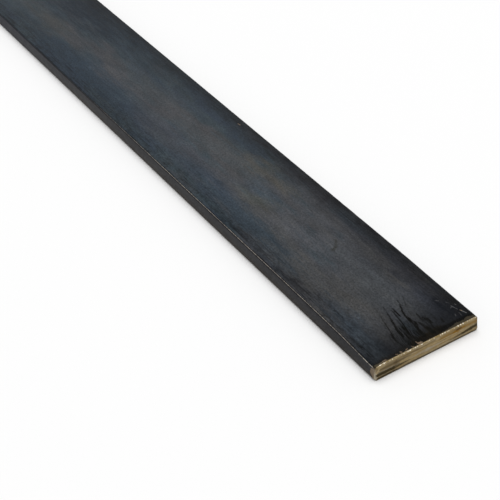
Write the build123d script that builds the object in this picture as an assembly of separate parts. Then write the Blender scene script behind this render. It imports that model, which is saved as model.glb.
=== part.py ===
"""Hot-rolled steel flat bar, one stock length.

The bar is a single rolled piece.  It lies flat on its broad face: +X runs along
the bar, +Y across its width and +Z up through its thickness.  The origin is in
the middle of the underside.  All sizes are in millimetres.
"""

import os

from build123d import *

# Rolled section
bar_width = 40.0
bar_thickness = 6.0
corner_radius = 0.8  # left by the finishing rolls along the four long corners

# Cut length
bar_length = 1000.0
end_edge_break = 0.4  # burr ground off round both sawn ends


def rolled_section():
    """Cross-section of the bar: a rectangle whose four corners the rolls leave round."""
    section = RectangleRounded(bar_width, bar_thickness, corner_radius)
    return Plane.YZ * Pos(0, bar_thickness / 2) * section


def cut_to_length(section):
    """Length of rolled bar with both ends sawn square, centred on the origin."""
    return extrude(section, amount=bar_length / 2, both=True)


def deburr_ends(bar):
    """Grind the sharp rim of each sawn end to a small round."""
    sawn_ends = bar.faces().sort_by(Axis.X)
    rims = sawn_ends[0].edges() + sawn_ends[-1].edges()
    return fillet(rims, radius=end_edge_break)


flat_bar = deburr_ends(cut_to_length(rolled_section()))

os.makedirs("parts", exist_ok=True)
export_step(flat_bar, "parts/flat_bar.step")
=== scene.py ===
import math

import bmesh
import bpy
from mathutils import Euler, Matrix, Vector, noise


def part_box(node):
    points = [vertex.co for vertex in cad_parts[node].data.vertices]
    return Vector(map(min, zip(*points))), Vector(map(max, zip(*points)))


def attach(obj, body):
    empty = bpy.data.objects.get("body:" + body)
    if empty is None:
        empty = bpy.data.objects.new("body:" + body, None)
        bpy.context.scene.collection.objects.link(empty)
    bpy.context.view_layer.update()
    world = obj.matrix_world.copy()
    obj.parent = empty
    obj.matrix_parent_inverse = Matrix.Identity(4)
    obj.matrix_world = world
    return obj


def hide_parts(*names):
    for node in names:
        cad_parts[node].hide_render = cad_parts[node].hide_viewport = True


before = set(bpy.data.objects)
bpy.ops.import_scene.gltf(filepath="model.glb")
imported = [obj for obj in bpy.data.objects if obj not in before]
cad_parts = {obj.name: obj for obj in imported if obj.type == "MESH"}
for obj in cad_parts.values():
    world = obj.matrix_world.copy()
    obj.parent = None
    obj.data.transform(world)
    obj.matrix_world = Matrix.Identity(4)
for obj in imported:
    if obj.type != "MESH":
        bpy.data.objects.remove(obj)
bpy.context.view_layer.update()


# ---------------------------------------------------------------------------
# Flat bar: one length of low-carbon steel, hot rolled to a rectangle with rounded long
# corners.  Both ends are sawn square, and a grinder has been run over their rims by hand,
# hardest at the corners.
# ---------------------------------------------------------------------------

MM = 0.001
low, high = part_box("flat_bar")
half_length, half_width, half_thickness = (high - low) / 2
bar_length = 2 * half_length
bar_thickness = 2 * half_thickness
bar_middle = (low + high) / 2
flush = 1e-6  # a vertex this near the plane of an end counts as on it
weld = 1e-7  # a cut this near a vertex goes through it

corner_radius = 0.8 * MM
corner_segments = 8
station_spacing = 1.0 * MM  # along the body, close enough to hold the nicks in its corners
cut_stations = (0.3 * MM, 0.6 * MM, 1.0 * MM, 1.5 * MM, 2.2 * MM, 3.0 * MM)  # from each end
cut_zone = cut_stations[-1]
rim_pitch = 0.25 * MM
rim_steps = (0.06 * MM, 0.14 * MM, 0.30 * MM)  # widths of the rings just inside the rim

body = bmesh.new()
bmesh.ops.create_cube(body, size=1.0)
bmesh.ops.scale(body, vec=high - low, verts=body.verts)
bmesh.ops.translate(body, vec=bar_middle, verts=body.verts)


def runs_along_bar(edge):
    """Whether an edge lies along X."""
    first, second = (vertex.co for vertex in edge.verts)
    return abs(first.x - second.x) > 0.99 * edge.calc_length()


def on_end(vertex):
    """Whether a vertex lies in the plane of an end."""
    return abs(abs(vertex.co.x) - half_length) < flush


def cut_faces(faces, point, direction):
    """Cuts the faces by a plane and returns what they have become."""
    edges = dict.fromkeys(edge for face in faces for edge in face.edges)
    vertices = dict.fromkeys(vertex for face in faces for vertex in face.verts)
    cut = bmesh.ops.bisect_plane(body, geom=[*faces, *edges, *vertices], dist=weld,
                                 plane_co=point, plane_no=direction)
    return [part for part in cut["geom"] if isinstance(part, bmesh.types.BMFace)]


long_corners = [edge for edge in body.edges if runs_along_bar(edge)]
bmesh.ops.bevel(body, geom=long_corners, offset=corner_radius, offset_type="OFFSET",
                segments=corner_segments, profile=0.5, affect="EDGES", material=-1)

# Loops close beside the corners keep the flats shading flat.
flats = ((1, half_width - corner_radius), (2, half_thickness - corner_radius))
for axis, half_flat in flats:
    direction = Vector((0, 0, 0))
    direction[axis] = 1
    columns = round(2 * half_flat / rim_pitch)
    for side in (-1, 1):
        around = [face for face in body.faces if not all(map(on_end, face.verts))]
        cut_faces(around, bar_middle + direction * side * half_flat * (1 - 2 / columns), direction)

for side in (-1, 1):
    for station in cut_stations:
        cut_faces(body.faces[:], (side * (half_length - station), 0, 0), (side, 0, 0))
body_edges = [edge for edge in body.edges
              if runs_along_bar(edge) and edge.calc_length() > half_length]
stations = round((bar_length - 2 * cut_zone) / station_spacing)
bmesh.ops.subdivide_edges(body, edges=body_edges, cuts=stations - 1, use_grid_fill=True)

# A finer grid on the stretch that the cut and the grinder touch.
for side in (-1, 1):
    zone = [face for face in body.faces if not all(map(on_end, face.verts))
            and side * face.calc_center_median().x > half_length - cut_zone]
    for axis, half_flat in flats:
        direction = Vector((0, 0, 0))
        direction[axis] = 1
        columns = round(2 * half_flat / rim_pitch)
        for column in range(2, columns - 1):
            point = bar_middle + direction * half_flat * (2 * column / columns - 1)
            zone = cut_faces(zone, point, direction)

end_faces = [face for face in body.faces if all(map(on_end, face.verts))]
for step in rim_steps:
    bmesh.ops.inset_region(body, faces=end_faces, thickness=step, use_boundary=True,
                           use_even_offset=True)


def is_rail(edge):
    """Whether an edge of the inmost ring is nearer the top or bottom than the sides."""
    middle = (edge.verts[0].co + edge.verts[1].co) / 2 - bar_middle
    return half_thickness - abs(middle.z) < half_width - abs(middle.y)


for face in end_faces:
    rails = [edge for edge in face.edges if is_rail(edge)]
    bmesh.ops.delete(body, geom=[face], context="FACES_ONLY")
    bmesh.ops.grid_fill(body, edges=rails, use_interp_simple=False)


def ramp(value, start, stop):
    """0 before start, 1 past stop, and a smooth rise between them."""
    share = min(max((value - start) / (stop - start), 0.0), 1.0)
    return share * share * (3.0 - 2.0 * share)


def depth_in_section(y, z):
    """How far inside the rolled section's outline a point is."""
    beyond_y = abs(y) - (half_width - corner_radius)
    beyond_z = abs(z - bar_middle.z) - (half_thickness - corner_radius)
    outside = math.hypot(max(beyond_y, 0.0), max(beyond_z, 0.0))
    return corner_radius - outside - min(max(beyond_y, beyond_z), 0.0)


# The end itself: a rounded rim, and fine scores along the way the blade went.
rim_reach = 0.24 * MM  # along the bar
rim_depth = 0.30 * MM  # into the end face
rim_wobble = 0.4  # a share of the reach
rim_period = 0.8 * MM
score_depth = 0.03 * MM
score_length = 14 * MM
score_period = 0.55 * MM
score_octaves = (0.6, 2.0, 3)  # how fast they fade, the step between them, and how many

# The grinder leaned on the left side of each end, low down, and rounded its rim further.
left_side_span = (half_width - 0.9 * MM, half_width - 0.2 * MM)  # grows between these, across
left_rim_reach = 0.60 * MM
left_rim_depth = 0.90 * MM
left_rim_top = 5 * MM
left_rim_fade = 4 * MM  # below that top

# Ground strips beside the rim: how deep they are, and how far back they reach.
strip_depth = 0.10 * MM
strip_slope = 0.8 * MM  # from no depth to all of it
strip_fade = 1.5 * MM  # below the top, where the cut of its strip dies out
strip_reach = 0.25 * MM
right_strip_reach = 1.30 * MM  # what the strip on the top gains towards the right corner
right_strip_span = (4 * MM, 17 * MM)  # grows between these, across
left_strip_reach = 0.60 * MM  # and towards the left one
left_strip_span = (12 * MM, 18.5 * MM)
side_strip_reach = 2.70 * MM
side_strip_foot = 2.5 * MM  # grows from the underside up to here
side_strip_head = (0.6 * MM, 2.2 * MM)  # and down from the top between these
strip_wobble = 0.5  # a share of the reach
strip_period = 2.2 * MM

# The cut dragged the upper right corner in a little, and pressed the upper left one down.
drag = 0.45 * MM
drag_reach = 45 * MM
press = 0.40 * MM
press_reach = 40 * MM
press_width = 4 * MM

# Dents in the long corners, different on the left and on the right.
nick_depth = 0.06 * MM
nick_period = 4.0 * MM
nick_octaves = (0.7, 2.2, 4)
nick_row = 5  # how far to either side of the noise's middle they are taken

strip_seed, rim_seed, score_seed = 5, 7, 3  # rows of the noise; the far end takes -5, -7 and -3

ground = body.verts.layers.float.new("ground_mm")  # how far inside a ground strip, in mm
turn = body.verts.layers.float.new("corner_turn")  # 0 on a narrow edge, 1 on a broad face

for vertex in body.verts:
    side = math.copysign(1.0, vertex.co.x)
    across, up = side * vertex.co.y, vertex.co.z  # across to the right, seen from outside that end
    back = half_length - abs(vertex.co.x)
    left_side = ramp(-across, *left_side_span)

    beyond_y = abs(across) - (half_width - corner_radius)
    beyond_z = abs(up - bar_middle.z) - (half_thickness - corner_radius)
    angle = math.atan2(max(beyond_z, 0.0), max(beyond_y, 1e-9))
    vertex[turn] = angle / math.radians(90)

    reach = strip_reach + right_strip_reach * ramp(across, *right_strip_span)
    reach += left_strip_reach * ramp(-across, *left_strip_span)
    reach *= ramp(up, half_thickness, bar_thickness - corner_radius)
    side_height = ramp(up, 0, side_strip_foot) * ramp(bar_thickness - up, *side_strip_head)
    reach = max(reach, side_strip_reach * left_side * side_height)
    wobble = noise.noise(Vector((across / strip_period, up / strip_period, strip_seed * side)))
    reach *= 1 + strip_wobble * wobble
    vertex[ground] = (reach - back) / MM

    if back < cut_zone:
        wobble = noise.noise(Vector((across / rim_period, up / rim_period, rim_seed * side)))
        leaned = left_side * ramp(left_rim_top - up, 0, left_rim_fade)
        round_reach = rim_reach + (left_rim_reach - rim_reach) * leaned
        round_reach *= 1 + rim_wobble * wobble
        round_depth = rim_depth + (left_rim_depth - rim_depth) * leaned
        inside = min(max(depth_in_section(across, up) / round_depth, 0.0), 1.0)
        rounding = round_reach * (1 - math.sqrt(1 - (1 - inside) ** 2))
        vertex.co.x -= side * rounding * (1 - back / cut_zone)
        if back < flush:
            place = Vector((across / score_length, up / score_period, score_seed * side))
            scores = noise.fractal(place, *score_octaves)
            vertex.co.x -= side * score_depth * max(0.5 + 0.5 * scores, 0.0) * inside
        taken = strip_depth * ramp(reach - back, 0.0, strip_slope)
        vertex.co.z -= taken * ramp(up, bar_thickness - strip_fade, bar_thickness)
        vertex.co.y += side * taken * left_side
    if back < drag_reach and across > 0:
        pulled = drag * ramp(drag_reach - back, 0.0, drag_reach) * ramp(up, 0.0, bar_thickness)
        vertex.co.y -= side * pulled * ramp(across, 0.0, half_width)
    if back < press_reach and across < 0:
        pressed = press * ramp(press_reach - back, 0.0, press_reach)
        pressed *= ramp(up, half_thickness, bar_thickness)
        vertex.co.z -= pressed * ramp(-across, half_width - press_width, half_width)
    if 0.0 < angle < math.radians(90):
        place = Vector((vertex.co.x / nick_period, math.copysign(nick_row, across), nick_row))
        nick = nick_depth * max(noise.fractal(place, *nick_octaves), 0.0) * math.sin(2 * angle)
        vertex.co.y -= math.copysign(nick, vertex.co.y) * math.cos(angle)
        vertex.co.z -= math.copysign(nick, up - bar_middle.z) * math.sin(angle)

# The operators may number what they make differently from run to run, so it is put in order
# here, by a sum of the three coordinates whose weights tell any two places apart.
weights = Vector((1.0, 7.3, 31.7))
body.verts.sort(key=lambda vertex: vertex.co.dot(weights))
body.edges.sort(key=lambda edge: (edge.verts[0].co + edge.verts[1].co).dot(weights))
body.faces.sort(key=lambda face: face.calc_center_median().dot(weights))

bar_mesh = bpy.data.meshes.new("flat_bar_stock")
body.normal_update()
body.to_mesh(bar_mesh)
body.free()
bar = bpy.data.objects.new("flat_bar_stock", bar_mesh)
bpy.context.collection.objects.link(bar)
for polygon in bar_mesh.polygons:
    polygon.use_smooth = True


def linear(hex_colour):
    """An sRGB hex value as linear red, green, blue and an alpha of 1."""
    channels = [int(hex_colour[i:i + 2], 16) / 255 for i in (1, 3, 5)]
    return [c / 12.92 if c <= 0.04045 else ((c + 0.055) / 1.055) ** 2.4 for c in channels] + [1.0]


def add_node(tree, kind, inputs, output=0, **settings):
    """Adds a shader node with its settings, feeds its inputs and returns the output asked for."""
    node = tree.nodes.new("ShaderNode" + kind)
    for name, value in settings.items():
        setattr(node, name, value)
    for name, value in inputs.items():
        if isinstance(value, bpy.types.NodeSocket):
            tree.links.new(value, node.inputs[name])
        else:
            node.inputs[name].default_value = value
    return node if output is None else node.outputs[output]


def set_stops(ramp_node, stops):
    """Gives a colour ramp these stops, each a position and a colour, in place of its own two."""
    elements = ramp_node.color_ramp.elements
    for position, colour in stops:
        elements.new(position).color = linear(colour)
    elements.remove(elements[0])
    elements.remove(elements[-1])


# Black hot-rolled steel.  Mill scale, the oxide that grows on hot steel, gives a dark blue-grey
# satin with soft blue and straw clouds; where it is gone the steel is pale and a little warm.
steel = bpy.data.materials.new("black_hot_rolled_steel")
steel.use_nodes = True
tree = steel.node_tree
shader = tree.nodes["Principled BSDF"]

# Places in mm: x, y, z in the bar, how far back from the nearest end and from the near end at
# +X, and how far from the middle line.
object_place = add_node(tree, "TexCoord", {}, "Object")
place = add_node(tree, "VectorMath", {0: object_place, 1: (1 / MM,) * 3}, operation="MULTIPLY")
x = add_node(tree, "SeparateXYZ", {0: place}, "X")
y = x.node.outputs["Y"]
z = x.node.outputs["Z"]
from_centre = add_node(tree, "Math", {0: x}, operation="ABSOLUTE")
from_end = add_node(tree, "Math", {0: half_length / MM, 1: from_centre}, operation="SUBTRACT")
from_near_end = add_node(tree, "Math", {0: half_length / MM, 1: x}, operation="SUBTRACT")
from_middle = add_node(tree, "Math", {0: y}, operation="ABSOLUTE")

# Size along the bar, size across it (both in mm), octaves, roughness of the octaves, seed.
# The finest real grain is nearer 0.1 mm, too fine to show, so it is drawn coarser.
patterns = {
    "tint": (40, 9, 4, 0.6, 4.0),
    "cloud": (18, 7, 5, 0.6, 11.0),
    "blotch": (10, 3.5, 4, 0.7, 13.0),
    "streaks": (12, 1.1, 4, 0.65, 6.0),
    "mottle": (3.0, 1.7, 4, 0.7, 2.0),
    "grain": (0.8, 0.55, 2, 0.7, 5.0),
    "roll_lines": (12, 0.5, 4, 0.7, 7.0),
    "rag": (1.8, 0.32, 3, 0.75, 9.0),
    "bristle": (2.2, 0.3, 3, 0.8, 15.0),
    "sparkle": (0.7, 0.7, 1, 0.5, 3.0),
    "end_streaks": (9, 9, 3, 0.6, 8.0),
}
end_streak_height = 0.5  # they lie flat across the cut
noise_middle = (0.5, 0.5, 0.5)
pattern = {}
for name, (length, width, octaves, rough, seed) in patterns.items():
    height = end_streak_height if name == "end_streaks" else width
    scaled = add_node(tree, "VectorMath", {0: place, 1: (1 / length, 1 / width, 1 / height)},
                      operation="MULTIPLY")
    pattern[name] = add_node(tree, "TexNoise", {"Vector": scaled, "W": seed, "Scale": 1.0,
                             "Detail": octaves, "Roughness": rough}, noise_dimensions="4D")

# Clouds from steel blue to grey, bluer towards the long corners and away from the ends.
by_middle = add_node(tree, "MapRange", {"Value": from_middle, "From Min": 3, "From Max": 15,
                     "To Min": 0.04, "To Max": -0.07})
further = add_node(tree, "MapRange", {"Value": from_end, "From Min": 50, "From Max": 130})
tint_place = add_node(tree, "Math", {0: by_middle, 1: further, 2: pattern["tint"]},
                      operation="MULTIPLY_ADD")
by_end = add_node(tree, "MapRange", {"Value": from_end, "From Min": 60, "From Max": 200,
                  "To Min": -0.03, "To Max": -0.19})
tint_place = add_node(tree, "Math", {0: tint_place, 1: by_end}, operation="ADD")
tint_place = add_node(tree, "Math", {0: pattern["blotch"], 1: 0.25, 2: tint_place},
                      operation="MULTIPLY_ADD")
scale_colour = add_node(tree, "ValToRGB", {"Fac": tint_place})
set_stops(scale_colour.node, ((0.28, "#36404c"), (0.43, "#3a444a"), (0.56, "#424448"), (0.74, "#464646")))

# Soft patches of blue, grey and straw with torn sides.
# Distance from the near end, place across, half length, half width (mm), colour, strength
patches = (
    (97, 8.6, 14, 2.6, "#504e48", 0.75),
    (88, -3.2, 8, 2.4, "#4a4a44", 0.6),
    (96, 0.5, 8, 2.8, "#3a444e", 0.7),
    (84, -12.5, 30, 4.5, "#323e48", 0.8),
    (116, -10.0, 22, 4.5, "#363f4b", 0.6),
    (140, 15.5, 22, 2.5, "#36404a", 0.6),
    (150, -8.0, 22, 5.5, "#46464a", 0.6),
    (14, -15.0, 16, 4.0, "#38424c", 0.7),
    (8, -17.5, 10, 4.0, "#5a626a", 0.8),
    (10, 12.0, 14, 5.5, "#383e4a", 0.6),
    (30, 3.0, 22, 6.0, "#42464a", 0.7),
    (34, 15.0, 30, 3.5, "#2a2c34", 0.5),
    (85, 17.0, 45, 3.0, "#2c2e36", 0.5),
    (60, -17.5, 24, 1.8, "#2e3238", 0.6),
    (205, -12.0, 44, 6.0, "#303c48", 0.85),
    (225, 13.0, 50, 5.0, "#303c46", 0.85),
    (262, 11.0, 46, 11.0, "#1e2834", 0.8),
    (120, 3.0, 24, 5.0, "#464646", 0.5),
    (155, 2.5, 36, 5.0, "#464648", 0.5),
    (240, -5.0, 18, 3.5, "#464644", 0.6),
)
tear_reach = (44, 15, 0)  # mm along and across
fray = 2.4  # how far the streaks eat into its sides, in half sizes
patch_rim, patch_core = 1.7, 0.2  # where its colour starts and where it is full, in half sizes
tear = add_node(tree, "VectorMath", {0: pattern["cloud"].node.outputs["Color"], 1: noise_middle},
                operation="SUBTRACT")
tear = add_node(tree, "VectorMath", {0: tear, 1: tear_reach}, operation="MULTIPLY")
torn_place = add_node(tree, "VectorMath", {0: place, 1: tear}, operation="ADD")
frayed = add_node(tree, "Math", {0: pattern["streaks"], 1: fray, 2: -fray / 2}, operation="MULTIPLY_ADD")
for distance, patch_across, half_long, half_wide, colour, strength in patches:
    centre = (half_length / MM - distance, patch_across, 0)
    offset = add_node(tree, "VectorMath", {0: torn_place, 1: centre}, operation="SUBTRACT")
    offset = add_node(tree, "VectorMath", {0: offset, 1: (1 / half_long, 1 / half_wide, 0)},
                      operation="MULTIPLY")
    spread = add_node(tree, "VectorMath", {0: offset}, "Value", operation="LENGTH")
    spread = add_node(tree, "Math", {0: spread, 1: frayed}, operation="ADD")
    share = add_node(tree, "MapRange", {"Value": spread, "From Min": patch_rim, "From Max": patch_core,
                     "To Min": 0.0, "To Max": strength}, interpolation_type="SMOOTHSTEP",
                     clamp=False)
    scale_colour = add_node(tree, "MixRGB", {"Fac": share, "Color1": scale_colour,
                            "Color2": linear(colour)})

# Brightness, first from the patterns and then from the place on the bar: what feeds it, the
# range that counts, the factor at each end of it.
texture_shades = (
    ("mottle", 0.3, 0.7, 0.86, 1.14),
    ("grain", 0.25, 0.75, 0.56, 1.44),
    ("streaks", 0.3, 0.7, 0.88, 1.12),
    ("blotch", 0.3, 0.7, 0.85, 1.15),
    ("cloud", 0.3, 0.7, 0.84, 1.16),
)
texture = 1.0
for name, start, stop, dark, bright in texture_shades:
    factor = add_node(tree, "MapRange", {"Value": pattern[name], "From Min": start, "From Max": stop,
                      "To Min": dark, "To Max": bright})
    texture = add_node(tree, "Math", {0: texture, 1: factor}, operation="MULTIPLY")
place_shades = (
    (y, -20, -4, 0.74, 1.0),  # darker towards the long corners
    (y, 2, 18, 1.0, 0.66),
    (y, 13, 20, 1.0, 0.48),
    (from_end, 0, 24, 0.23, 0.83),  # darker over the last stretch before each end: coolant stain, and painted shade
    (from_end, 24, 60, 0.82, 1.0),
    (from_end, 120, 260, 1.0, 0.85),
)
shade = texture
for place_value, start, stop, first, last in place_shades:
    factor = add_node(tree, "MapRange", {"Value": place_value, "From Min": start, "From Max": stop,
                      "To Min": first, "To Max": last}, interpolation_type="SMOOTHSTEP",
                      clamp=False)
    shade = add_node(tree, "Math", {0: shade, 1: factor}, operation="MULTIPLY")

# Dark lines from the rolls and smudges, beside the long corners: the pattern, how dark
near_corner = add_node(tree, "MapRange", {"Value": from_middle, "From Min": 10, "From Max": 19},
                       interpolation_type="SMOOTHSTEP")
for name, darkest in (("roll_lines", -0.6), ("mottle", -0.35)):
    lines = add_node(tree, "MapRange", {"Value": pattern[name], "From Min": 0.38, "From Max": 0.50,
                     "To Min": darkest, "To Max": 0.0})
    lines = add_node(tree, "Math", {0: lines, 1: near_corner, 2: 1.0}, operation="MULTIPLY_ADD")
    shade = add_node(tree, "Math", {0: shade, 1: lines}, operation="MULTIPLY")
scale_colour = add_node(tree, "VectorMath", {0: scale_colour, "Scale": shade}, operation="SCALE")

# The narrow edges ran against the edging rolls: a plainer grey, brown at their foot, and darker and
# bluer well away from the ends.  Their grey is painted darker than the broad faces, as painted shade.
up_edge = add_node(tree, "MapRange", {"Value": z, "From Min": 0.0, "From Max": bar_thickness / MM})
shaded_edge_colour = add_node(tree, "ValToRGB", {"Fac": up_edge})
set_stops(shaded_edge_colour.node, ((0.05, "#2d251c"), (0.28, "#2a2725"), (0.5, "#28282a"), (0.9, "#252528")))
bluer = add_node(tree, "MapRange", {"Value": from_end, "From Min": 190, "From Max": 260, "To Max": 0.85})
shaded_edge_colour = add_node(tree, "MixRGB", {"Fac": bluer, "Color1": shaded_edge_colour, "Color2": linear("#0f1522")})
shaded_edge_colour = add_node(tree, "VectorMath", {0: shaded_edge_colour, "Scale": texture}, operation="SCALE")

# Where an edge turns into a broad face, in shares of the corner's quarter turn.
corner_turn = add_node(tree, "Attribute", {}, "Fac", attribute_name="corner_turn")
worn_turn = add_node(tree, "MapRange", {"Value": from_end, "From Min": 3, "From Max": 18,
                     "To Min": 0.15, "To Max": 0.52})  # the corner's ridge sits lower near the ends
past_ridge = add_node(tree, "Math", {0: corner_turn, 1: worn_turn}, operation="SUBTRACT")
broad = add_node(tree, "MapRange", {"Value": past_ridge, "From Min": -0.05, "From Max": 0.10})
surface = add_node(tree, "MixRGB", {"Fac": broad, "Color1": shaded_edge_colour, "Color2": scale_colour})

# Marks are strokes with ragged sides, drawn in mm from the near end, across and up.
# They belong to the near end alone: the far one has a plain cut.
rag_reach = (2.4, 0.9, 0.8)  # how far their sides stray
end_place = add_node(tree, "CombineXYZ", {"X": from_near_end, "Y": y, "Z": z})
shake = add_node(tree, "VectorMath", {0: pattern["rag"].node.outputs["Color"], 1: noise_middle},
                 operation="SUBTRACT")
shake = add_node(tree, "VectorMath", {0: shake, 1: rag_reach}, operation="MULTIPLY")
ragged_place = add_node(tree, "VectorMath", {0: end_place, 1: shake}, operation="ADD")


def stroke(seen_place, start, stop, half_wide, end_half_wide, strength, soft):
    """How much a stroke covers each place: strength inside it, 0 outside, about soft mm between."""
    run = Vector(stop) - Vector(start)
    offset = add_node(tree, "VectorMath", {0: seen_place, 1: start}, operation="SUBTRACT")
    gone = add_node(tree, "VectorMath", {0: offset, 1: run / run.length_squared}, "Value",
                    operation="DOT_PRODUCT")
    gone = add_node(tree, "Clamp", {"Value": gone})
    nearest = add_node(tree, "VectorMath", {0: run, "Scale": gone}, operation="SCALE")
    apart = add_node(tree, "VectorMath", {0: offset, 1: nearest}, "Value", operation="DISTANCE")
    limit = add_node(tree, "MapRange", {"Value": gone, "To Min": half_wide, "To Max": end_half_wide},
                     clamp=False)
    inside = add_node(tree, "Math", {0: limit, 1: apart}, operation="SUBTRACT")
    return add_node(tree, "MapRange", {"Value": inside, "From Min": -soft, "From Max": 0.25 * soft,
                    "To Max": strength}, interpolation_type="SMOOTHSTEP", clamp=False)


def strokes_on_top(seen_place, marks, soft):
    """How much the strokes of a list cover each place on the bar's top."""
    top = bar_thickness / MM
    covered = 0.0
    for start, start_across, stop, stop_across, half_wide, end_half_wide, strength in marks:
        one = stroke(seen_place, (start, start_across, top), (stop, stop_across, top), half_wide,
                     end_half_wide, strength, soft)
        covered = add_node(tree, "Math", {0: covered, 1: one}, operation="MAXIMUM")
    return covered


# Burnt coolant: brown-black runs that lead back from the cut and lean to the right.  Each has
# the distance from the near end and the place across, first where it starts and then where it
# stops, its half widths there, and its strength.  The last three are thin specks further back.
coolant_runs = (
    (2.5, 0.7, 6.0, 1.0, 0.45, 0.40, 0.90), (6.0, 1.0, 8.8, 1.8, 0.45, 0.60, 0.95),
    (8.8, 1.6, 13.0, 1.4, 0.55, 0.35, 0.95), (13.0, 1.5, 15.5, 2.2, 0.30, 0.25, 0.90),
    (15.5, 2.3, 18.0, 3.3, 0.25, 0.25, 0.80), (17.2, 3.5, 20.2, 3.8, 0.20, 0.10, 0.60),
    (14.4, 1.5, 15.7, 1.7, 0.10, 0.10, 0.50), (2.2, 3.8, 5.2, 3.6, 0.65, 0.45, 0.95),
    (5.2, 3.5, 8.3, 3.0, 0.45, 0.20, 0.85), (5.8, 6.1, 8.0, 6.3, 0.25, 0.30, 0.85),
    (7.8, 5.7, 9.3, 5.4, 0.40, 0.25, 0.90), (4.4, 5.7, 7.8, 5.7, 0.15, 0.30, 0.65),
    (2.3, 5.4, 4.8, 5.3, 0.40, 0.20, 0.65), (8.0, 4.4, 11.8, 4.9, 0.12, 0.22, 0.70),
    (12.2, 3.2, 14.2, 3.6, 0.15, 0.10, 0.40), (16.0, 4.3, 20.6, 6.4, 0.12, 0.06, 0.45),
    (14.0, 0.1, 17.7, 0.4, 0.25, 0.22, 0.95), (2.4, 0.1, 6.5, -0.6, 0.40, 0.20, 0.70),
    (8.0, -0.6, 11.0, 0.1, 0.15, 0.12, 0.50), (2.4, -2.2, 6.0, -2.7, 0.50, 0.40, 0.75),
    (5.8, -2.7, 9.0, -2.1, 0.40, 0.55, 0.95), (8.8, -1.9, 10.6, -1.5, 0.45, 0.25, 0.95),
    (9.0, -1.6, 13.2, -0.9, 0.20, 0.22, 0.95), (13.2, -0.9, 17.4, -0.4, 0.22, 0.12, 0.80),
    (10.5, -2.1, 12.8, -1.8, 0.18, 0.15, 0.55), (2.4, -3.9, 7.0, -3.3, 0.40, 0.15, 0.60),
    (2.4, -5.7, 6.0, -5.1, 0.40, 0.25, 0.60), (5.8, -5.0, 8.6, -4.6, 0.30, 0.50, 0.90),
    (8.6, -4.6, 11.0, -4.0, 0.50, 0.35, 0.95), (11.0, -4.0, 14.0, -3.2, 0.32, 0.28, 0.90),
    (14.0, -3.2, 17.0, -2.3, 0.22, 0.14, 0.75), (17.0, -2.3, 20.0, -1.6, 0.14, 0.08, 0.50),
    (3.4, -7.6, 7.8, -7.5, 0.20, 0.35, 0.60), (7.6, -7.4, 9.2, -6.9, 0.35, 0.25, 0.85),
    (9.2, -6.8, 14.0, -5.8, 0.22, 0.22, 0.75), (14.0, -5.8, 16.8, -4.9, 0.18, 0.10, 0.60),
    (16.8, -4.9, 21.0, -4.0, 0.10, 0.06, 0.35), (11.8, -6.8, 13.4, -6.5, 0.12, 0.12, 0.40),
    (4.2, -9.1, 8.6, -8.3, 0.20, 0.15, 0.40), (3.8, 9.3, 5.6, 9.7, 0.25, 0.25, 0.70),
    (6.2, 8.3, 9.0, 8.4, 0.15, 0.15, 0.35), (23.0, -14.7, 31.0, -14.6, 0.06, 0.08, 0.50),
    (27.2, -14.9, 28.0, -14.8, 0.25, 0.20, 0.55), (30.0, 9.2, 31.2, 9.0, 0.20, 0.25, 0.35),
)

# The crust beside the cut, the dark band inside the ground strip, and the haze under the runs.
crust = ((0.4, -19.0, 0.4, 19.0, 1.0, 1.0, 0.6), (0.8, -10.0, 0.8, -3.0, 1.0, 1.2, 0.5),
         (1.2, -3.5, 1.5, 6.2, 1.3, 1.6, 0.95), (2.0, 3.6, 4.8, 3.5, 1.0, 0.4, 0.85),
         (2.0, 0.6, 4.8, 0.7, 1.0, 0.4, 0.65), (2.0, -2.2, 4.4, -3.4, 1.0, 0.5, 0.55))
dark_band = ((1.7, 7.0, 1.6, 17.5, 0.75, 0.6, 0.9),)
haze = ((2.0, -2.8, 8.5, -2.9, 2.8, 1.2, 0.95), (2.5, 0.0, 10.0, 0.4, 1.3, 0.7, 0.6),
        (3.0, 5.2, 9.0, 5.6, 1.4, 0.6, 0.6), (3.0, -6.8, 8.0, -7.2, 1.4, 0.7, 0.6))

# A small stain, the smudges along the long corners, and the dark smear by the right corner.
spot = ((51.8, 2.2, 52.6, 3.8, 0.40, 0.35, 0.6), (52.6, 3.8, 55.4, 5.8, 0.35, 0.15, 0.5))
scuffs = ((38.0, 18.7, 41.0, 18.8, 0.4, 0.3, 0.6), (58.6, 17.4, 60.6, 19.0, 0.6, 0.4, 0.5),
          (74.6, 11.5, 75.6, 17.0, 0.2, 0.8, 0.25), (50.0, 18.8, 56.0, 18.9, 0.3, 0.3, 0.5),
          (66.0, 18.9, 74.0, 18.8, 0.3, 0.3, 0.5), (30.4, 12.0, 31.6, 11.6, 0.3, 0.2, 0.35),
          (41.0, -17.5, 55.0, -17.8, 0.25, 0.20, 0.45), (73.0, -17.6, 83.0, -18.2, 0.3, 0.2, 0.5),
          (97.0, 18.6, 104.0, 18.8, 0.3, 0.3, 0.5), (44.0, -15.8, 47.0, -16.4, 0.2, 0.2, 0.35))
smear = ((4.0, 15.0, 13.0, 13.8, 2.8, 1.1, 0.62), (3.5, 10.0, 7.0, 10.5, 1.7, 0.8, 0.4))

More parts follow.
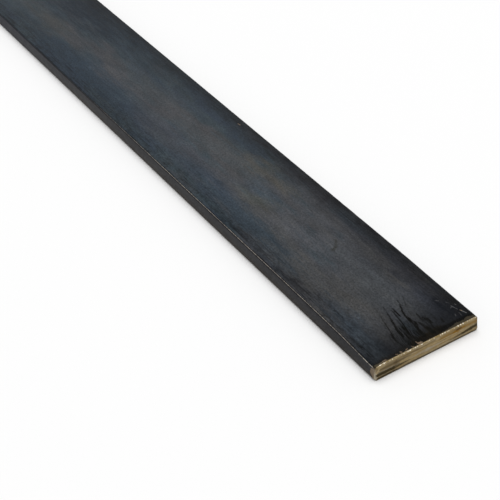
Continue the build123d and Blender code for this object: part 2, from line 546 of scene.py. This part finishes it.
# Fine hairs that lean as the runs do, and what breaks up each kind of mark.
hair_lean = 0.18  # to the right, for each mm back from the cut
hair_length = 4.0
hair_width = 0.4
leaning = add_node(tree, "Math", {0: from_near_end, 1: -hair_lean, 2: y}, operation="MULTIPLY_ADD")
hair_place = add_node(tree, "CombineXYZ", {"X": from_near_end, "Y": leaning})
hair_place = add_node(tree, "VectorMath", {0: hair_place, 1: (1 / hair_length, 1 / hair_width, 0)},
                      operation="MULTIPLY")
hair = add_node(tree, "TexNoise", {"Vector": hair_place, "Scale": 1.0, "Detail": 3.0, "Roughness": 0.7})
hairs = add_node(tree, "MapRange", {"Value": hair, "From Min": 0.45, "From Max": 0.57, "To Min": 0.05})
gaps = add_node(tree, "MapRange", {"Value": hair, "From Min": 0.36, "From Max": 0.52, "To Min": 0.42,
                "To Max": 1.1})
bristles = add_node(tree, "MapRange", {"Value": pattern["bristle"], "From Min": 0.38, "From Max": 0.52,
                    "To Min": 0.5, "To Max": 1.12})
dabs = add_node(tree, "MapRange", {"Value": pattern["mottle"], "From Min": 0.40, "From Max": 0.56,
                "To Min": 0.3, "To Max": 1.15})
# Colour, marks, soft width in mm, and the pattern that breaks them up.
stains = (
    ("#23231a", spot, 0.8, bristles),
    ("#0e0f13", scuffs, 1.0, bristles),
    ("#0a0d12", smear, 2.0, dabs),
    ("#120e06", crust, 1.2, bristles),
    ("#070706", haze, 1.6, hairs),
    ("#070706", dark_band, 0.8, bristles),
    ("#070705", coolant_runs, 0.28, gaps),
)
burnt = 0.0
for colour, marks, soft, breaks in stains:
    share = strokes_on_top(ragged_place, marks, soft)
    share = add_node(tree, "Math", {0: share, 1: breaks}, operation="MULTIPLY")
    surface = add_node(tree, "MixRGB", {"Fac": share, "Color1": surface, "Color2": linear(colour)})
    burnt = add_node(tree, "Math", {0: burnt, 1: share}, operation="MAXIMUM")

# Scratches through the scale beside the right corner, and a few flecks of bare steel.
scratches = (
    (3.3, 17.6, 4.9, 17.0, 0.14, 0.10, 1.0), (6.0, 16.5, 8.3, 15.8, 0.06, 0.10, 0.6),
    (7.9, 15.9, 7.6, 15.1, 0.06, 0.08, 0.4), (3.9, 14.1, 4.7, 14.4, 0.10, 0.08, 0.4),
    (3.2, 15.7, 4.5, 15.9, 0.08, 0.08, 0.3), (9.7, 16.2, 10.6, 15.6, 0.06, 0.05, 0.4),
    (7.9, 17.4, 8.4, 17.4, 0.08, 0.06, 0.5), (12.4, 14.1, 13.2, 13.4, 0.10, 0.08, 0.4),
)
flecks = (
    (0.6, -2.0, 0.9, -3.1, 0.35, 0.30, 0.8), (1.2, -3.2, 1.8, -3.3, 0.18, 0.12, 0.7),
    (0.6, -5.2, 1.1, -5.6, 0.12, 0.08, 0.6), (0.8, -9.7, 1.0, -9.8, 0.22, 0.15, 0.8),
    (0.7, -7.9, 1.0, -7.2, 0.16, 0.10, 0.6), (0.7, -11.2, 0.9, -11.6, 0.18, 0.10, 0.5),
    (4.8, 17.1, 5.2, 16.9, 0.12, 0.08, 0.8), (0.4, -18.4, 0.5, -15.6, 0.30, 0.40, 0.6),
    (131.5, 17.2, 132.5, 17.0, 0.20, 0.15, 0.7),
)
scratch_soft = 0.15
scratch_shake = (0.5, 0.5, 0.5)  # scratches wander half as far as stains
less_ragged_place = add_node(tree, "VectorMath", {0: shake, 1: scratch_shake, 2: end_place},
                             operation="MULTIPLY_ADD")
for colour, marks in (("#565656", scratches), ("#706050", flecks)):
    bared = strokes_on_top(less_ragged_place, marks, scratch_soft)
    bared = add_node(tree, "Math", {0: bared, 1: bristles}, operation="MULTIPLY")
    surface = add_node(tree, "MixRGB", {"Fac": bared, "Color1": surface, "Color2": linear(colour)})

# The long corners: a broken hairline of worn steel, partly a painted highlight, brightest at its very
# ends and nearly gone in the bar's middle, with a painted shadow line on each side of it.  Widths are
# in shares of the corner's turn, places along in mm.
dark_line_place = 0.18  # either way from the middle of the worn line
worn_place = add_node(tree, "Math", {0: past_ridge}, operation="ABSOLUTE")
worn_and_highlight = add_node(tree, "MapRange", {"Value": worn_place, "From Min": 0.10, "From Max": 0.04})
worn_along = add_node(tree, "MapRange", {"Value": from_end, "From Min": 125, "From Max": 185,
                      "To Min": 0.38, "To Max": 0.02})
worn_tip = add_node(tree, "MapRange", {"Value": from_end, "From Min": 4, "From Max": 9,
                    "To Min": 0.50, "To Max": 0.0})
worn_along = add_node(tree, "Math", {0: worn_along, 1: worn_tip}, operation="ADD")
worn_and_highlight = add_node(tree, "Math", {0: worn_and_highlight, 1: worn_along}, operation="MULTIPLY")
worn_noise = add_node(tree, "MapRange", {"Value": pattern["sparkle"], "From Min": 0.4, "From Max": 0.6,
                      "To Min": 0.35})
worn_and_highlight = add_node(tree, "Math", {0: worn_and_highlight, 1: worn_noise}, operation="MULTIPLY")
surface = add_node(tree, "MixRGB", {"Fac": worn_and_highlight, "Color1": surface, "Color2": linear("#e0d6c8")})
from_shadow_lines = add_node(tree, "Math", {0: worn_place, 1: dark_line_place}, operation="SUBTRACT")
from_shadow_lines = add_node(tree, "Math", {0: from_shadow_lines}, operation="ABSOLUTE")
shadow_lines = add_node(tree, "MapRange", {"Value": from_shadow_lines, "From Min": 0.10, "From Max": 0.05})
shadow_lines_along = add_node(tree, "MapRange", {"Value": from_end, "From Min": 8, "From Max": 18, "To Max": 0.6})
shadow_lines = add_node(tree, "Math", {0: shadow_lines, 1: shadow_lines_along}, operation="MULTIPLY")
surface = add_node(tree, "MixRGB", {"Fac": shadow_lines, "Color1": surface, "Color2": linear("#101113")})

# Bare steel: a streaked straw grey on the cut, paler where it was ground or worn.
bare_colour_and_painted_light = add_node(tree, "ValToRGB", {"Fac": pattern["end_streaks"]})
set_stops(bare_colour_and_painted_light.node, ((0.32, "#7b6640"), (0.47, "#8c7a55"), (0.62, "#93856a"), (0.75, "#8a7a58")))

# What the heat of the saw and the grinder left on the cut, with painted light and shade among it.  Each
# stroke has the place across and the height where it starts and where it stops, its half widths there
# (below 0 it has died out before), and its strength.  The first row is the left rim, polished by the
# grinder and painted paler as its highlight.
heat_marks_and_painted_light = (
    # The left rim's polish, with a painted highlight on it.
    ("#9c9483", ((-19.8, 0.6, -20.0, 2.4, 0.60, 0.45, 0.9), (-20.0, 2.4, -20.0, 4.6, 0.45, 0.10, 0.6))),
    ("#6f5d3f", ((-19.6, 3.9, -19.6, 5.0, 0.25, 0.40, 0.7), (19.6, 0.8, 19.4, 5.0, 0.60, 0.60, 0.7))),
    # A pale grey band across the middle of the cut: a painted highlight.
    ("#8f8779", ((0.0, 2.6, -10.0, 2.4, 0.60, -0.40, 0.5), (0.0, 2.6, 9.0, 2.8, 0.60, -0.40, 0.5))),
    ("#4a4d50", ((-18.5, 2.75, -11.0, 2.8, 0.35, 0.10, 0.5),)),
    ("#584829", ((-12.0, 3.8, -18.0, 3.8, 0.90, 0.50, 0.35), (-12.0, 3.8, -2.0, 3.6, 0.90, -0.40, 0.4),
                 (-16.0, 4.8, -3.0, 4.8, 0.30, 0.10, 0.5))),
    ("#6b5428", ((5.0, 4.3, 19.6, 4.2, 0.40, 0.80, 0.55),)),
    ("#4a3b21", ((-12.0, 3.85, -18.0, 3.9, 0.42, 0.30, 0.75), (-12.0, 3.85, -3.5, 3.8, 0.42, -0.30, 0.75),
                 (-9.0, 4.5, 3.0, 4.7, 0.20, 0.20, 0.4), (-18.5, 0.9, 0.0, 0.8, 0.20, -0.10, 0.3),
                 (-18.8, 0.70, -12.0, 0.65, 0.38, 0.15, 1.0))),
    ("#312500", ((-19.1, 2.1, -13.0, 1.90, 0.50, 0.52, 1.0),
                 (-13.0, 1.90, -6.5, 2.1, 0.60, 0.00, 0.85),
                 (9.0, 1.6, 14.0, 1.95, -0.05, 0.35, 0.75), (14.0, 1.95, 17.0, 2.2, 0.35, 0.50, 0.95),
                 # On the next line, the stroke low along the whole width is painted shade where the cut
                 # meets the floor.
                 (17.0, 2.3, 20.6, 2.5, 0.50, 0.50, 1.0), (-18.5, 0.35, 19.0, 0.35, 0.30, 0.30, 0.8))),
    ("#7a5700", ((10.6, 4.1, 14.5, 4.4, 0.38, 0.20, 1.0), (5.0, 4.1, 19.3, 4.3, 0.10, 0.35, 0.6),
                 (11.9, 3.5, 12.3, 3.5, 0.20, 0.10, 0.7))),
    ("#4c3208", ((11.7, 4.5, 13.2, 4.5, 0.32, 0.20, 1.0),)),
)
heat_soft = 0.35
warp_reach = (0, 3.0, 1.0)  # mm across and up
flatten = (0.01, 1, 1)  # the marks lie on the cut, so depth along the bar hardly counts
warp = add_node(tree, "VectorMath", {0: pattern["end_streaks"].node.outputs["Color"], 1: noise_middle},
                operation="SUBTRACT")
face_place = add_node(tree, "VectorMath", {0: warp, 1: warp_reach, 2: ragged_place},
                      operation="MULTIPLY_ADD")
face_place = add_node(tree, "VectorMath", {0: face_place, 1: flatten}, operation="MULTIPLY")
for colour, marks in heat_marks_and_painted_light:
    for start_across, start_up, stop_across, stop_up, half_wide, end_half_wide, strength in marks:
        share = stroke(face_place, (0, start_across, start_up), (0, stop_across, stop_up), half_wide,
                       end_half_wide, strength, heat_soft)
        bare_colour_and_painted_light = add_node(tree, "MixRGB", {"Fac": share, "Color1": bare_colour_and_painted_light,
                               "Color2": linear(colour)})

bare_shade = add_node(tree, "MapRange", {"Value": pattern["mottle"], "From Min": 0.3, "From Max": 0.7,
                      "To Min": 0.80, "To Max": 1.18})
bare_colour_and_painted_light = add_node(tree, "VectorMath", {0: bare_colour_and_painted_light, "Scale": bare_shade}, operation="SCALE")

# A painted highlight: glints along the burr at the top of the cut, in a broken line, most by the left
# corner.
burr_below_top = 0.24
burr_height = bar_thickness / MM - burr_below_top
from_burr = add_node(tree, "Math", {0: z, 1: burr_height}, operation="SUBTRACT")
from_burr = add_node(tree, "Math", {0: from_burr}, operation="ABSOLUTE")
on_burr = add_node(tree, "MapRange", {"Value": from_burr, "From Min": 0.20, "From Max": 0.08})
brighter = add_node(tree, "MapRange", {"Value": y, "From Min": -14, "From Max": -19, "To Max": 0.10})
painted_glint = add_node(tree, "Math", {0: pattern["sparkle"], 1: brighter}, operation="ADD")
painted_glint = add_node(tree, "MapRange", {"Value": painted_glint, "From Min": 0.52, "From Max": 0.66})
painted_glint = add_node(tree, "Math", {0: painted_glint, 1: on_burr}, operation="MULTIPLY")
bare_colour_and_painted_light = add_node(tree, "MixRGB", {"Fac": painted_glint, "Color1": bare_colour_and_painted_light, "Color2": linear("#fbf4e6")})

# The cut face is bare, and low on the left its polish, painted paler as a highlight, runs round onto the
# side.
cut_share = add_node(tree, "MapRange", {"Value": from_end, "From Min": 0.30, "From Max": 0.16})
lean = add_node(tree, "MapRange", {"Value": from_near_end, "From Min": 0.75, "From Max": 0.50})
for place_value, start, stop in ((y, -19.0, -19.6), (z, 4.6, 2.6)):
    leaned = add_node(tree, "MapRange", {"Value": place_value, "From Min": start, "From Max": stop})
    lean = add_node(tree, "Math", {0: lean, 1: leaned}, operation="MULTIPLY")
cut_share = add_node(tree, "Math", {0: cut_share, 1: lean}, operation="MAXIMUM")

# The strips beside the cut are ground through the scale and have dulled, least on the side.
ground_inside = add_node(tree, "Attribute", {}, "Fac", attribute_name="ground_mm")
ground_inside = add_node(tree, "Math", {0: pattern["rag"], 1: 1.4, 2: ground_inside},
                         operation="MULTIPLY_ADD")
ground_share = add_node(tree, "MapRange", {"Value": ground_inside, "From Min": 0.6, "From Max": 0.9,
                        "To Max": 0.85})
dulled = add_node(tree, "MixRGB", {"Fac": pattern["mottle"], "Color1": linear("#1d1a13"),
                  "Color2": linear("#423c30")})
on_side = add_node(tree, "MapRange", {"Value": z, "From Min": 5.2, "From Max": 4.4})
dulled = add_node(tree, "MixRGB", {"Fac": on_side, "Color1": dulled, "Color2": linear("#73634f")})
surface = add_node(tree, "MixRGB", {"Fac": ground_share, "Color1": surface, "Color2": dulled})
surface = add_node(tree, "MixRGB", {"Fac": cut_share, "Color1": surface, "Color2": bare_colour_and_painted_light})

# Burnt coolant is rougher than the scale and stands a little proud; bare steel is smoother.
bare_share = add_node(tree, "Math", {0: cut_share, 1: worn_and_highlight}, operation="MAXIMUM")
bare_share = add_node(tree, "Math", {0: bare_share, 1: ground_share}, operation="MAXIMUM")
roughness = add_node(tree, "MapRange", {"Value": pattern["mottle"], "From Min": 0.3, "From Max": 0.7,
                     "To Min": 0.45, "To Max": 0.57})
roughness = add_node(tree, "Math", {0: burnt, 1: 0.12, 2: roughness}, operation="MULTIPLY_ADD")
roughness = add_node(tree, "Math", {0: bare_share, 1: -0.10, 2: roughness}, operation="MULTIPLY_ADD")
height = add_node(tree, "Math", {0: pattern["mottle"], 1: pattern["grain"]}, operation="ADD")
height = add_node(tree, "Math", {0: burnt, 1: 0.5, 2: height}, operation="MULTIPLY_ADD")
bump = add_node(tree, "Bump", {"Height": height, "Strength": 0.3, "Distance": 0.03 * MM})
for name, value in (("Base Color", surface), ("Roughness", roughness), ("Normal", bump)):
    tree.links.new(value, shader.inputs[name])
shader.inputs["Metallic"].default_value = 1.0

bar_mesh.materials.append(steel)
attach(bar, "root")
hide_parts("flat_bar")


# ---------------------------------------------------------------------------
# Studio: a white paper floor under a white surround, with one very large softbox above.
# It stands for a plain light tent, so the shadows are short and soft.
# ---------------------------------------------------------------------------

studio_white = linear("#ffffff")
floor_size = 12.0
floor_gap = 0.02 * MM  # below the bar
room_light = 0.38  # how strongly the surround lights matt surfaces; seen directly it is white
floor_lift = 0.12  # how far the floor goes to plain white where it is seen directly

floor_mesh = bpy.data.meshes.new("studio_floor")
floor_shape = bmesh.new()
bmesh.ops.create_grid(floor_shape, x_segments=1, y_segments=1, size=floor_size)
bmesh.ops.translate(floor_shape, vec=(0, 0, low.z - floor_gap), verts=floor_shape.verts)
floor_shape.to_mesh(floor_mesh)
floor_shape.free()
floor = bpy.data.objects.new("studio_floor", floor_mesh)
bpy.context.collection.objects.link(floor)


def seen_directly(tree):
    """1 for what the camera sees straight, in gloss or through glass, and 0 for light on matt things."""
    camera_ray = add_node(tree, "LightPath", {}, "Is Camera Ray")
    others = camera_ray.node.outputs
    seen = add_node(tree, "Math", {0: camera_ray, 1: others["Is Glossy Ray"]}, operation="MAXIMUM")
    return add_node(tree, "Math", {0: seen, 1: others["Is Transmission Ray"]}, operation="MAXIMUM")


paper = bpy.data.materials.new("white_paper_floor")
paper.use_nodes = True
floor_tree = paper.node_tree
floor_tree.nodes.clear()
matt = add_node(floor_tree, "BsdfDiffuse", {"Color": linear("#fcfcfc")})
glow = add_node(floor_tree, "Emission", {"Color": studio_white, "Strength": 1.0})
lift = add_node(floor_tree, "Math", {0: seen_directly(floor_tree), 1: floor_lift}, operation="MULTIPLY")
floor_shader = add_node(floor_tree, "MixShader", {0: lift, 1: matt, 2: glow})
add_node(floor_tree, "OutputMaterial", {"Surface": floor_shader}, output=None)
floor_mesh.materials.append(paper)

surround = bpy.data.worlds.new("studio_surround")
bpy.context.scene.world = surround
surround.use_nodes = True
surround_tree = surround.node_tree
surround_tree.nodes.clear()
room = add_node(surround_tree, "Background", {"Color": studio_white, "Strength": room_light})
backdrop = add_node(surround_tree, "Background", {"Color": studio_white, "Strength": 1.0})
surround_mix = add_node(surround_tree, "MixShader", {0: seen_directly(surround_tree), 1: room, 2: backdrop})
add_node(surround_tree, "OutputWorld", {"Surface": surround_mix}, output=None)

softbox_size = 3.0
softbox_distance = 4.0
softbox_power = 120.0
softbox_elevation = math.radians(86)  # nearly overhead, a little behind
softbox_bearing = math.radians(140)
softbox_direction = Vector((1, 0, 0))
softbox_direction.rotate(Euler((0, -softbox_elevation, softbox_bearing)))
softbox_light = bpy.data.lights.new("overhead_softbox", "AREA")
softbox_light.shape = "SQUARE"
softbox_light.size = softbox_size
softbox_light.energy = softbox_power
softbox = bpy.data.objects.new("overhead_softbox", softbox_light)
softbox.location = Vector((half_length, 0, 0)) + softbox_direction * softbox_distance
softbox.rotation_mode = "QUATERNION"
softbox.rotation_quaternion = softbox_direction.to_track_quat("Z", "Y")
bpy.context.collection.objects.link(softbox)


# ---------------------------------------------------------------------------
# Camera: a short telephoto beyond the near end and to its left, looking down
# along the bar.
# ---------------------------------------------------------------------------

camera_data = bpy.data.cameras.new("camera")
camera_data.sensor_width = 36.0
camera_data.lens = 96.5
camera = bpy.data.objects.new("camera", camera_data)
camera_place = Vector((723.6, -199.8, 284.3)) * MM
aim = Vector((432.4, -20.1, 6.0)) * MM
camera_roll = math.radians(-2.37)
camera.location = camera_place
camera.rotation_mode = "QUATERNION"
camera.rotation_quaternion = ((aim - camera_place).to_track_quat("-Z", "Y")
                              @ Euler((0, 0, camera_roll)).to_quaternion())
bpy.context.collection.objects.link(camera)
bpy.context.scene.camera = camera
bpy.context.scene.view_settings.view_transform = "Standard"
